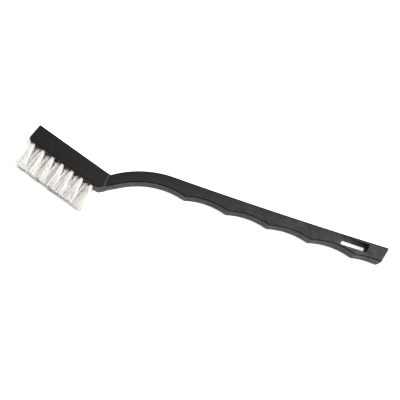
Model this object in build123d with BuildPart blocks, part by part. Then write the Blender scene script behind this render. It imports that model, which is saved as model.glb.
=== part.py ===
from build123d import *
from math import asin, atan, cos, degrees, radians, sin, sqrt, tan
import os

# Crevice brush: a one-piece moulded handle, like a long toothbrush, with an angled
# head that carries three rows of nylon tufts.
# The brush lies on its side. +X runs along the back of the grip from the head to the
# hanging slot, +Y points to the back, the bristles point to -Y, and +Z is up.
# The lower side face of the head is at Z = 0, and the middle of the outline is at X = Y = 0.
# All lengths are in millimetres. The outline is given on the mould's parting plane,
# half way up the thickness, and both halves draw in from there by the draft angle.

# Head
head_width = 11.2            # across the brush, side face to side face
head_length = 42.75          # along the back, free end to the fold
head_depth = 9.45            # back to brush face
head_angle = 17.6            # degrees between the head and the back of the grip
head_back_corner = 0.8       # corner radii of the outline
head_face_corner = 1.6
fold_corner = 0.8
heel_radius = 3.0
heel_setback = 0.95          # heel corner to fold, measured along the head
step_place = 0.25            # the side faces step down to the neck this far behind the fold
step_lean = 7.0              # degrees between the step and a square cut across the grip

# Neck
neck_back_radius = 49.5
neck_back_drop = 9.25        # height of the arc from the back of the grip to the fold
neck_width = 9.0             # across the brush, next to the fold
neck_rise_angle = 30.0       # degrees of the straight run behind the heel
neck_rise_length = 12.5

# Grip
grip_length = 112.5          # along the back, neck to end
back_hollow = 0.62           # how far the back dips between neck and end
end_width = 9.8              # across the brush, at the hanging end
end_depth = 8.45
end_slant = 15.5             # degrees off square
end_back_corner = 0.8        # corner radii at the hanging end
end_belly_corner = 0.6
first_ridge_margin = 8.4     # first finger ridge, from the end of the neck
last_ridge_margin = 15.7     # last finger ridge, from the end of the back
ridge_shares = (0, 0.25, 0.495, 0.74, 1)     # where the ridges stand between those two
finger_radius = 36.0         # four whole scallops, and part of a fifth
first_ridge_depth = 8.1
last_ridge_depth = 9.1
ridge_radius = 1.2
crown_radius = 60.0          # the side faces of neck and grip are slightly round
crown_depth = 3.7            # top line of the crown, below the back

# Hanging slot
slot_length = 13.4
slot_width = 4.2
slot_wall = 1.7              # between the slot and the back
slot_from_end = 17.3         # middle of the slot to the end of the back
slot_slant = 9.0             # degrees off square of the slot's short sides
slot_corner = 0.4

# Moulding
draft_angle = 2.0            # degrees
arris_radius = 0.5           # rounding of the long edges
mouth_radius = 0.2           # rounding of the slot's mouths
overrun = 1.0                # how far a cut runs past what it cuts

# Tufts
hole_diameter = 1.8
hole_depth = 4.5
side_row_count = 7           # tufts in the left and right rows; the centre row has one less
side_row_margin = 2.5        # side rows from the head's side faces
first_tuft_margin = 3.4      # first tuft from the free end
last_tuft_margin = 3.3       # last tuft from the heel corner
trim_length = 13.75          # bristle length outside the head
plug_clearance = 0.05        # between a tuft's plug and its hole
strand_width = 0.24          # at the root
strand_tip_width = 0.45
strand_margin = 0.02         # between the outer strands and the rim of the plug
strand_root = 0.5            # how deep a strand runs into its plug
strand_rings = 2             # rings of strands around the middle one, of six, twelve and so on
splay_along_share = 0.45     # half width of a tuft's tip, of the distance between tips
splay_across_share = 0.5     # half width of a tuft's tip, of the row spacing
gather_share = 0.08          # lean of a tuft's tip, of its distance from the middle of the row
uneven_share = 0.03          # shortest strands, of the trim length

# Anchors
anchor_thickness = 0.3
anchor_height = 1.4
anchor_bite = 0.3            # how far an anchor cuts into the wall of its hole, each side
anchor_cover = 1.7           # brush face to the anchor's upper edge

# Sizes that follow
half_head = head_width / 2
half_neck = neck_width / 2
half_end = end_width / 2
hole_radius = hole_diameter / 2
plug_radius = hole_radius - plug_clearance
draft_slope = tan(radians(draft_angle))
finger_span = grip_length - first_ridge_margin - last_ridge_margin
row_spacing = half_head - side_row_margin
heel_place = head_length - heel_setback
tuft_pitch = (heel_place - first_tuft_margin - last_tuft_margin) / (side_row_count - 1)
tufts_middle = (first_tuft_margin + heel_place - last_tuft_margin) / 2
splay_along = splay_along_share * (1 - gather_share) * tuft_pitch
tips_half = (1 - gather_share) * (tufts_middle - first_tuft_margin) + splay_along
splay_across = splay_across_share * row_spacing
strand_pitch = (plug_radius - strand_margin - strand_width / sqrt(2)) / strand_rings

# Directions in the outline: along the head towards the grip, and out of the brush face
along_x, along_y = cos(radians(head_angle)), -sin(radians(head_angle))
out_x, out_y = along_y, -along_x

# Places in the outline, measured from where the neck meets the back of the grip. The back
# is a shallow arc, so that it slopes a little at both ends.
back_tilt = 2 * atan(2 * back_hollow / grip_length)
centre_drop = neck_back_radius * cos(back_tilt) - neck_back_drop
fold_x = -neck_back_radius * sin(back_tilt) - sqrt(neck_back_radius**2 - centre_drop**2)
fold_y = -neck_back_drop
tip_x, tip_y = fold_x - head_length * along_x, fold_y - head_length * along_y


def head_point(along, out):
    """A point of the head, from its free end at the back."""
    return (tip_x + along * along_x + out * out_x, tip_y + along * along_y + out * out_y)


bristle_reach = head_depth + trim_length
least_x = head_point(tufts_middle - tips_half, bristle_reach)[0]
least_y = head_point(tufts_middle + tips_half, bristle_reach)[1]
middle_x = (least_x + grip_length) / 2
middle_y = (least_y + tip_y) / 2
parting = Plane(origin=(-middle_x, -middle_y, half_head))
os.makedirs("parts", exist_ok=True)

# Handle
# The whole outline stands half the head's thickness high. The neck and grip are then cut
# down to their own width by the relief, whose underside carries the crown, and the upper
# half is mirrored at the parting plane.
fold = (fold_x, fold_y)
heel = head_point(heel_place, head_depth)
rise_x, rise_y = cos(radians(neck_rise_angle)), sin(radians(neck_rise_angle))
neck_start = (heel[0] + neck_rise_length * rise_x, heel[1] + neck_rise_length * rise_y)
ridges = [(first_ridge_margin + finger_span * share,
           -first_ridge_depth - (last_ridge_depth - first_ridge_depth) * share) for share in ridge_shares]
end_belly = (grip_length - end_depth * tan(radians(end_slant)), -end_depth)

with BuildSketch(parting) as outline:
    with BuildLine():
        Polyline(fold, head_point(0, 0), head_point(0, head_depth), heel, neck_start)
        TangentArc(neck_start, ridges[0], tangent=(rise_x, rise_y))
        for start, stop in zip(ridges, ridges[1:] + [end_belly]):
            RadiusArc(start, stop, finger_radius)
        Line(end_belly, (grip_length, 0))
        back = ThreePointArc((grip_length, 0), (grip_length / 2, -back_hollow), (0, 0))
        TangentArc((0, 0), fold, tangent=back % 1)
    make_face()
    corners = [(head_point(0, 0), head_back_corner), (head_point(0, head_depth), head_face_corner),
               (fold, fold_corner), (heel, heel_radius),
               (end_belly, end_belly_corner), ((grip_length, 0), end_back_corner)]
    for place, radius in corners + [(ridge, ridge_radius) for ridge in ridges]:
        fillet(outline.vertices().sort_by_distance(place)[0], radius)

# The relief leaves the side faces of neck and grip behind, slightly crowned, and it widens
# the grip evenly from the fold to the hanging end.
run, climb = grip_length - fold_x, half_end - half_neck
side_face = Plane(parting.from_local_coords((fold_x, 0, half_neck)),
                  x_dir=(run, 0, climb), z_dir=(-climb, 0, run))
step_x, step_y = head_point(head_length + step_place, 0)
step_wall = Plane(parting.from_local_coords((step_x, step_y, 0)),
                  z_dir=(cos(radians(step_lean)), -sin(radians(step_lean)), 0))
crown_reach = last_ridge_depth - crown_depth + overrun
crown_fall = crown_radius - sqrt(crown_radius**2 - crown_reach**2)
relief_sweep = degrees(asin(-fold_x / neck_back_radius) + head_depth / (neck_back_radius - head_depth))
relief_top = half_head - half_neck + overrun

with BuildPart() as relief:
    with BuildLine(side_face) as crown_line:
        Line((run + overrun, -crown_depth), (-fold_x, -crown_depth))
        CenterArc((-fold_x, -neck_back_radius), neck_back_radius - crown_depth, 90, relief_sweep)
    with BuildSketch(Plane(crown_line.line @ 0, x_dir=(0, 1, 0), z_dir=(run, 0, climb))):
        with BuildLine():
            ThreePointArc((-crown_reach, -crown_fall), (0, 0), (crown_reach, -crown_fall))
            Polyline((crown_reach, -crown_fall), (crown_reach, relief_top),
                     (-crown_reach, relief_top), (-crown_reach, -crown_fall))
        make_face()
    sweep(path=crown_line.line)
    split(bisect_by=step_wall, keep=Keep.TOP)

# Where the tufts stand: a plane on the brush face for each, its Z out of the head and its
# Y across the brush. The side rows sit lower, where the draft has drawn the face in. The
# tips of a row stand closer together than the roots, so every tuft leans to the middle.
rows = {"left": (side_row_count, row_spacing), "centre": (side_row_count - 1, 0),
        "right": (side_row_count, -row_spacing)}
seats, leans = {}, {}
for row, (count, across) in rows.items():
    for number in range(count):
        name = f"{row}_{number + 1}"
        place = tufts_middle + (number - (count - 1) / 2) * tuft_pitch
        x, y = head_point(place, head_depth - abs(across) * draft_slope)
        seats[name] = Plane(parting.from_local_coords((x, y, across)),
                            x_dir=(along_x, along_y, 0), z_dir=(out_x, out_y, 0))
        leans[name] = gather_share * (tufts_middle - place)
anchor_width = hole_diameter + 2 * anchor_bite
slot_x, slot_y = grip_length - slot_from_end, -slot_wall - slot_width / 2
slot_lean = slot_width / 2 * tan(radians(slot_slant))

with BuildPart() as handle:
    add(outline.sketch)
    extrude(amount=half_head, taper=draft_angle)
    add(relief.part, mode=Mode.SUBTRACT)
    side_faces = handle.faces().filter_by(lambda face: face.normal_at(face.center()).Z > cos(radians(45)))
    step = handle.faces().filter_by(step_wall)[0]
    walls = handle.faces() - side_faces
    fillet((side_faces.edges() & walls.edges()) - [step.edges().sort_by(Axis.Z)[0]], arris_radius)
    mirror(about=parting)
    with BuildSketch(parting) as slot:
        Polygon((slot_x - slot_length / 2 + slot_lean, slot_y + slot_width / 2),
                (slot_x + slot_length / 2 + slot_lean, slot_y + slot_width / 2),
                (slot_x + slot_length / 2 - slot_lean, slot_y - slot_width / 2),
                (slot_x - slot_length / 2 - slot_lean, slot_y - slot_width / 2))
        fillet(slot.vertices(), slot_corner)
    extrude(amount=half_head, both=True, mode=Mode.SUBTRACT)
    fillet(handle.edges(Select.LAST).filter_by(Axis.Z, reverse=True), mouth_radius)
    with BuildSketch(*[seat.offset(overrun) for seat in seats.values()]):
        Circle(hole_radius)
    extrude(amount=-overrun - hole_depth, mode=Mode.SUBTRACT)
    with BuildSketch(*[seat.offset(-anchor_cover) for seat in seats.values()]):
        Rectangle(anchor_width, anchor_thickness)
    extrude(amount=-anchor_height, mode=Mode.SUBTRACT)
handle.part.label = "handle"
export_step(handle.part, "parts/handle.step")

# Tufts and anchors
# Each tuft is a bundle of nylon filaments folded round a small metal plate, the anchor,
# and driven into its hole. The plug is the packed bundle inside the hole, with the gap
# that the anchor fills, and thicker, fewer strands stand for the filaments outside it.
strand_places = [(0, 0)]
for ring in range(1, strand_rings + 1):
    for turn in range(6 * ring):
        angle = radians(360 * turn / (6 * ring))
        strand_places.append((ring * cos(angle), ring * sin(angle)))
step_along = (splay_along - strand_tip_width / 2) / strand_rings
step_across = (splay_across - strand_tip_width / 2) / strand_rings

for name, seat in seats.items():
    with BuildPart() as tuft:
        with BuildSketch(seat.offset(-hole_depth)):
            Circle(plug_radius)
        extrude(amount=hole_depth)
        with BuildSketch(seat.offset(-anchor_cover)):
            Rectangle(anchor_width, anchor_thickness)
        extrude(amount=-anchor_height, mode=Mode.SUBTRACT)
        strands = []
        for index, (x, y) in enumerate(strand_places):
            length = trim_length * (1 - uneven_share * (1 + cos(index)) / 2)
            with BuildSketch(seat.offset(-strand_root)):
                with Locations((x * strand_pitch, y * strand_pitch)):
                    Rectangle(strand_width, strand_width)
            with BuildSketch(seat.offset(length)):
                with Locations((leans[name] + x * step_along, y * step_across)):
                    Rectangle(strand_tip_width, strand_tip_width)
            strands.append(loft(ruled=True, mode=Mode.PRIVATE))
        add(strands)
    tuft.part.label = f"tuft_{name}"
    export_step(tuft.part, f"parts/tuft_{name}.step")

    with BuildPart() as anchor:
        with BuildSketch(seat.offset(-anchor_cover)):
            Rectangle(anchor_width, anchor_thickness)
        extrude(amount=-anchor_height)
    anchor.part.label = f"anchor_{name}"
    export_step(anchor.part, f"parts/anchor_{name}.step")
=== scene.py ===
from math import cos, hypot, pi, radians, sin, sqrt
import random

import bpy
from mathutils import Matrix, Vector


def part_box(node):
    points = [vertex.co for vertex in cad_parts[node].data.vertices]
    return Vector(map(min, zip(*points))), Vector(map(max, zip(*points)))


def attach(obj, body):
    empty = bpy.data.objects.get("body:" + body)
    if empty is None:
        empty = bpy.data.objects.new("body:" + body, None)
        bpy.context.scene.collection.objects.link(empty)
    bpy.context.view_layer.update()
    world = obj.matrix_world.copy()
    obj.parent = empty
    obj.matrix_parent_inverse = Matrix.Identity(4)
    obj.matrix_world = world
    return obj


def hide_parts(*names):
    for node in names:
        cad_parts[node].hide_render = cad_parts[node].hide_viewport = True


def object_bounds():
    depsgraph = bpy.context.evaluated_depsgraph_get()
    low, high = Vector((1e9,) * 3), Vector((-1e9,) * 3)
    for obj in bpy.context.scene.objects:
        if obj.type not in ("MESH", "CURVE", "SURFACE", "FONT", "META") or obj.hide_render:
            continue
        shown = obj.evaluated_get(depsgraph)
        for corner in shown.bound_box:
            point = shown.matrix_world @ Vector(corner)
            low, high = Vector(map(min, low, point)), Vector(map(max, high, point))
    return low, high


# A crevice brush, lying on its side on a white table. Lengths are in metres, in the part's
# own frame: the brush lies along X with its head at the left, and its bristles point to -Y.
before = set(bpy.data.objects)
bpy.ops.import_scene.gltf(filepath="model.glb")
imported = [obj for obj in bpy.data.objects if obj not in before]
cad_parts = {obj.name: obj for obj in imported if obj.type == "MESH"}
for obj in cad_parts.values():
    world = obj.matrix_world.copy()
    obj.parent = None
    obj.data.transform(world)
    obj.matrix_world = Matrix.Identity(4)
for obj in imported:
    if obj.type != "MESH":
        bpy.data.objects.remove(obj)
cad_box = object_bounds()
mm = 0.001

# Handle
# One injection moulding in black polypropylene: the head with its blind holes, the neck, the
# finger-scalloped grip and the hanging slot. The mould's halves met half way up its sides.
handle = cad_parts["handle"]
mottle_size = 4.0 * mm           # patches where the melt cooled at different speeds
grain_size = 0.5 * mm            # spark-eroded grain is 0.1 mm, too fine to show, so it is coarser
grain_depth = 0.006 * mm
side_level = (0.99, 0.97)        # how far up a side face looks, and how far its rounded edge
wall_level = (0.06, 0.12)        # the same for a drafted wall
rubbed_roughness = 0.08


def linear(colour):
    """The linear colour of an sRGB hex value such as #1a2b3c."""
    shares = [int(colour[place:place + 2], 16) / 255 for place in (1, 3, 5)]
    return [s / 12.92 if s <= 0.04045 else ((s + 0.055) / 1.055) ** 2.4 for s in shares] + [1]


def add_node(tree, kind, settings, links={}):
    """Adds a node with its settings and links, each given by the name or number of a socket."""
    node = tree.nodes.new(kind)
    for name, value in settings.items():
        if isinstance(name, int) or name in node.inputs:
            node.inputs[name].default_value = value
        else:
            setattr(node, name, value)
    for name, source in links.items():
        tree.links.new(source, node.inputs[name])
    return node


def new_material(name):
    """An empty material, with its tree and its object coordinates."""
    material = bpy.data.materials.new(name)
    material.use_nodes = True
    tree = material.node_tree
    tree.nodes.clear()
    return material, tree, add_node(tree, "ShaderNodeTexCoord", {}).outputs["Object"]


# Black polypropylene straight from the mould: a waxy, soft sheen, a little uneven. Its rounded
# edges are rubbed smooth in handling, and get a painted shade: their colour goes near black,
# so that they draw a thin, dark line round the side faces.
polypropylene, tree, place = new_material("moulded_black_polypropylene")
mottle = add_node(tree, "ShaderNodeTexNoise",
                  {"Scale": 1 / mottle_size, "Detail": 3.0, "Roughness": 0.6}, {"Vector": place})
colour = add_node(tree, "ShaderNodeMix",
                  {"data_type": "RGBA", 6: linear("#080807"), 7: linear("#23201c")},
                  {0: mottle.outputs["Fac"]})
sheen = add_node(tree, "ShaderNodeMapRange",
                 {"From Min": 0.3, "From Max": 0.7, "To Min": 0.6, "To Max": 0.41},
                 {"Value": mottle.outputs["Fac"]})
normal = add_node(tree, "ShaderNodeTexCoord", {}).outputs["Normal"]
facing = add_node(tree, "ShaderNodeSeparateXYZ", {}, {"Vector": normal})
height = add_node(tree, "ShaderNodeMath", {"operation": "ABSOLUTE"}, {0: facing.outputs["Z"]})
off_sides = add_node(tree, "ShaderNodeMapRange",
                     {"From Min": side_level[0], "From Max": side_level[1]},
                     {"Value": height.outputs["Value"]})
off_walls = add_node(tree, "ShaderNodeMapRange",
                     {"From Min": wall_level[0], "From Max": wall_level[1]},
                     {"Value": height.outputs["Value"]})
# The rounded edges between side faces and walls: made smooth, and coloured with painted shade.
rubbed_and_shaded_edge = add_node(tree, "ShaderNodeMath", {"operation": "MULTIPLY"},
                  {0: off_sides.outputs["Result"], 1: off_walls.outputs["Result"]})
# Painted shade: the rounded edges' colour is pulled to near black, a dark line like shade.
painted_edge_shade = add_node(tree, "ShaderNodeMix", {"data_type": "RGBA", 7: linear("#050505")},
                       {0: rubbed_and_shaded_edge.outputs["Value"], 6: colour.outputs[2]})
edge_sheen = add_node(tree, "ShaderNodeMix", {3: rubbed_roughness},
                      {0: rubbed_and_shaded_edge.outputs["Value"], 2: sheen.outputs["Result"]})
grain = add_node(tree, "ShaderNodeTexNoise", {"Scale": 1 / grain_size, "Detail": 2.0},
                 {"Vector": place})
bump = add_node(tree, "ShaderNodeBump", {"Strength": 0.5, "Distance": grain_depth},
                {"Height": grain.outputs["Fac"]})
shader = add_node(tree, "ShaderNodeBsdfPrincipled", {"IOR": 1.49, "Specular IOR Level": 0.29},
                  {"Base Color": painted_edge_shade.outputs[2], "Roughness": edge_sheen.outputs[0],
                   "Normal": bump.outputs["Normal"]})
add_node(tree, "ShaderNodeOutputMaterial", {}, {"Surface": shader.outputs["BSDF"]})
handle.material_slots[0].material = polypropylene

# Anchors
# Small plates cut from steel strip, one in each hole. The bristles are folded round an
# anchor, and it is driven in with them, so that its ends bite into the plastic.
mark_size = 0.08 * mm            # length of a rolling mark
mark_stretch = 12                # and that length in its widths

# Rolled steel strip: a dull shine, finely streaked by the rolls.
steel, tree, place = new_material("rolled_steel_strip")
stretch = add_node(tree, "ShaderNodeMapping", {"Scale": (1, 1, mark_stretch)}, {"Vector": place})
marks = add_node(tree, "ShaderNodeTexNoise", {"Scale": 1 / mark_size, "Detail": 2.0},
                 {"Vector": stretch.outputs["Vector"]})
gloss = add_node(tree, "ShaderNodeMapRange", {"To Min": 0.25, "To Max": 0.45},
                 {"Value": marks.outputs["Fac"]})
shader = add_node(tree, "ShaderNodeBsdfPrincipled",
                  {"Metallic": 1.0, "Base Color": linear("#b4b4b6")},
                  {"Roughness": gloss.outputs["Result"]})
add_node(tree, "ShaderNodeOutputMaterial", {}, {"Surface": shader.outputs["BSDF"]})
anchors = {name: node for name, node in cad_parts.items() if name.startswith("anchor_")}
for anchor in anchors.values():
    anchor.material_slots[0].material = steel

# Tufts
# Natural white nylon filament, cut to length and folded in two round an anchor, so that each
# filament is a hairpin with both its ends outside. The brush was trimmed after filling.
head_angle = radians(17.6)
along = Vector((cos(head_angle), -sin(head_angle), 0))
out = Vector((-sin(head_angle), -cos(head_angle), 0))
across = Vector((0, 0, 1))
filament_width = 0.16 * mm
filament_gap = 0.008 * mm
hole_reach = 0.85 * mm           # half width of the bundle in its hole
anchor_thickness = 0.3 * mm
anchor_height = 1.4 * mm
anchor_cover = 1.7 * mm          # brush face to the anchor
trim_length = 13.75 * mm
ragged_length = 0.7 * mm         # shortest ends, below the longest of their tuft
uneven_length = 0.5 * mm         # shortest tuft, below the longest

# Half width of a tuft at its tips, along its row and across the rows
splays = {"left": 2.8 * mm, "centre": 3.0 * mm, "right": 2.8 * mm}
splays_across = {"left": 1.3 * mm, "centre": 3.0 * mm, "right": 1.3 * mm}

row_lean = 1.3 * mm              # how far the tips lean towards the grip, from their roots
uneven_lean = 0.3 * mm           # how far a tuft leans from that, either way
uneven_splay = 0.15              # the tightest and loosest tufts, either way from the even one
clump_size = 0.4 * mm            # filaments that cling together, measured at the hole
clump_stray = 0.6 * mm           # how far the tips of a clump wander from their even place
stray = 0.9 * mm                 # and how far each tip wanders from its clump
bow = 0.3 * mm                   # how far a filament bends out of line half way
arm_steps = 4
fold_steps = 3
streak_width = 0.35 * mm         # two filaments wide, as one alone is too fine to show
streak_length = 9 * mm
crease_angle = radians(50)

# Drawn nylon with no dye: smooth, softly shiny filaments, near white, in faint streaks.
nylon, tree, place = new_material("drawn_white_nylon")
turned = add_node(tree, "ShaderNodeMapping", {"Rotation": (0, 0, head_angle)}, {"Vector": place})
drawn = add_node(tree, "ShaderNodeMapping",
                 {"Scale": (1 / streak_width, 1 / streak_length, 1 / streak_width)},
                 {"Vector": turned.outputs["Vector"]})
streaks = add_node(tree, "ShaderNodeTexNoise", {"Scale": 1.0, "Detail": 2.0},
                   {"Vector": drawn.outputs["Vector"]})
colour = add_node(tree, "ShaderNodeMix",
                  {"data_type": "RGBA", 6: linear("#faf6f0"), 7: linear("#fffffc")},
                  {0: streaks.outputs["Fac"]})
shader = add_node(tree, "ShaderNodeBsdfPrincipled", {"IOR": 1.53, "Roughness": 0.35},
                  {"Base Color": colour.outputs[2]})
add_node(tree, "ShaderNodeOutputMaterial", {}, {"Surface": shader.outputs["BSDF"]})

# Where the hairpins stand in half a hole, side by side next to the anchor
hairpins = []
pitch = filament_width + filament_gap
reach = hole_reach - filament_width / 2
for level in range(round(reach / pitch) + 1):
    y = (anchor_thickness + pitch) / 2 + level * pitch * sqrt(3) / 2
    for column in range(-round(reach / pitch) - 1, round(reach / pitch) + 1):
        x = (column + level % 2 / 2) * pitch
        if hypot(x, y) <= reach:
            hairpins.append((x, y))

draw = random.Random(11)


def drift(limit):
    """A step in any direction across a tuft, no longer than the limit."""
    angle, size = draw.uniform(0, 2 * pi), draw.uniform(0, limit)
    return size * (cos(angle) * along + sin(angle) * across)


def arm_points(mouth, x, y, spread, clumps, length):
    """Points of half a hairpin, from the anchor's lower edge to its tip in the CAD box."""
    lean, splay, splay_across = spread
    root = mouth + x * along + y * across
    clump = clumps.setdefault((round(x / clump_size), round(y / clump_size)), drift(clump_stray))
    tip = (mouth + lean * along + x / reach * splay * along + y / reach * splay_across * across
           + clump + drift(stray) + (length - draw.uniform(0, ragged_length)) * out)
    for axis in range(3):
        tip[axis] = min(max(tip[axis], cad_box[0][axis] + filament_width),
                        cad_box[1][axis] - filament_width)
    bend = drift(bow)
    points = [root - (anchor_cover + anchor_height) * out]
    for step in range(arm_steps + 1):
        share = step / arm_steps
        points.append(root.lerp(tip, share) + sin(pi * share) * bend)
    return points


bpy.ops.object.select_all(action="DESELECT")
for name in anchors:
    low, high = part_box(name)
    mouth = (low + high) / 2 + (anchor_cover + anchor_height / 2) * out
    lean = row_lean + draw.uniform(-uneven_lean, uneven_lean)
    row = name.split("_")[1]
    splay = splays[row] * draw.uniform(1 - uneven_splay, 1 + uneven_splay)
    spread = (lean, splay, splays_across[row])
    length = trim_length - draw.uniform(0, uneven_length)
    clumps = {}
    bpy.ops.object.add(type="CURVE")
    tuft = bpy.context.object
    tuft.name = name.replace("anchor", "bristles")
    tuft.data.dimensions = "3D"
    tuft.data.bevel_depth = filament_width / 2
    tuft.data.bevel_resolution = 1
    tuft.data.use_fill_caps = True
    for x, y in hairpins:
        first = arm_points(mouth, x, y, spread, clumps, length)
        second = arm_points(mouth, x, -y, spread, clumps, length)
        bottom = (first[0] + second[0]) / 2
        fold = [bottom + y * (cos(turn) * across - sin(turn) * out)
                for turn in [pi * step / fold_steps for step in range(1, fold_steps)]]
        path = first[::-1] + fold + second
        spline = tuft.data.splines.new("POLY")
        spline.points.add(len(path) - 1)
        for point, spot in zip(spline.points, path):
            point.co = (*spot, 1)
    bpy.ops.object.convert(target="MESH")
    bpy.ops.object.shade_smooth_by_angle(angle=crease_angle)
    tuft.data.materials.append(nylon)
    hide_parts(name.replace("anchor", "tuft"))
    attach(tuft, "root")

# Table
# The plain white table that the brush lies on, painted matt. It glows white for camera rays,
# and a little for reflections, so that it looks as white as the room and keeps the shadow.
table_size = 4.0
table_gap = 0.02 * mm            # so that table and head don't share a plane
camera_glow = 0.75
mirror_glow = 0.2


def background_rays(tree):
    """Whether a ray is from the camera, and whether it is reflected or has passed through."""
    rays = add_node(tree, "ShaderNodeLightPath", {})
    mirrored = add_node(tree, "ShaderNodeMath", {"operation": "MAXIMUM"},
                        {0: rays.outputs["Is Glossy Ray"], 1: rays.outputs["Is Transmission Ray"]})
    return rays.outputs["Is Camera Ray"], mirrored.outputs["Value"]


bpy.ops.object.select_all(action="DESELECT")
bpy.ops.mesh.primitive_plane_add(size=table_size, location=(0, 0, cad_box[0].z - table_gap))
table = bpy.context.object
table.name = "table"

# Matt white paint: even, with no shine.
paint, tree, place = new_material("matt_white_paint")
from_camera, mirrored = background_rays(tree)
seen = add_node(tree, "ShaderNodeMath", {"operation": "MULTIPLY", 1: camera_glow},
                {0: from_camera})
glow_strength = add_node(tree, "ShaderNodeMath", {"operation": "MULTIPLY_ADD", 1: mirror_glow},
                         {0: mirrored, 2: seen.outputs["Value"]})
white = add_node(tree, "ShaderNodeBsdfDiffuse", {"Color": linear("#f2f2f2")})
glow = add_node(tree, "ShaderNodeEmission", {}, {"Strength": glow_strength.outputs["Value"]})
both = add_node(tree, "ShaderNodeAddShader", {},
                {0: white.outputs["BSDF"], 1: glow.outputs["Emission"]})
add_node(tree, "ShaderNodeOutputMaterial", {}, {"Surface": both.outputs["Shader"]})
table.data.materials.append(paint)

# Light and camera
# Two soft lamps, one overhead and one beyond the grip's end, so that the handle shines most
# towards that end. The room looks white, but gives little light, and rounded edges stay dark,
# also by their painted shade.
room_light = 0.02
mirror_light = 0.08              # added where the room is mirrored

world = bpy.data.worlds.new("white_room")
world.use_nodes = True
tree = world.node_tree
from_camera, mirrored = background_rays(tree)
lit = add_node(tree, "ShaderNodeMath",
               {"operation": "MULTIPLY_ADD", 1: mirror_light, 2: room_light}, {0: mirrored})
seen = add_node(tree, "ShaderNodeMath", {"operation": "ADD"},
                {0: from_camera, 1: lit.outputs["Value"]})
background = tree.nodes["Background"]
background.inputs["Color"].default_value = (1, 1, 1, 1)
tree.links.new(seen.outputs["Value"], background.inputs["Strength"])
bpy.context.scene.world = world


def add_lamp(name, location, size, power):
    """A square soft lamp that shines at the brush."""
    bpy.ops.object.light_add(type="AREA", location=location)
    lamp = bpy.context.object
    lamp.name = name
    lamp.data.size = size
    lamp.data.energy = power
    lamp.rotation_euler = (-Vector(location)).to_track_quat("-Z", "Y").to_euler()


add_lamp("key_lamp", (0.45, 0.05, 1.05), 0.6, 12.5)
add_lamp("side_lamp", (0.95, 0.25, 0.8), 1.0, 11)

camera_place = Vector((-6.81, -92.69, 378.66)) * mm
camera_turn = (radians(14.109), radians(-5.236), radians(17.611))
bpy.ops.object.camera_add(location=camera_place, rotation=camera_turn)
camera = bpy.context.object
camera.data.lens = 70
camera.data.sensor_width = 36
camera.data.clip_start = 0.01
bpy.context.scene.camera = camera
bpy.context.scene.view_settings.view_transform = "Standard"
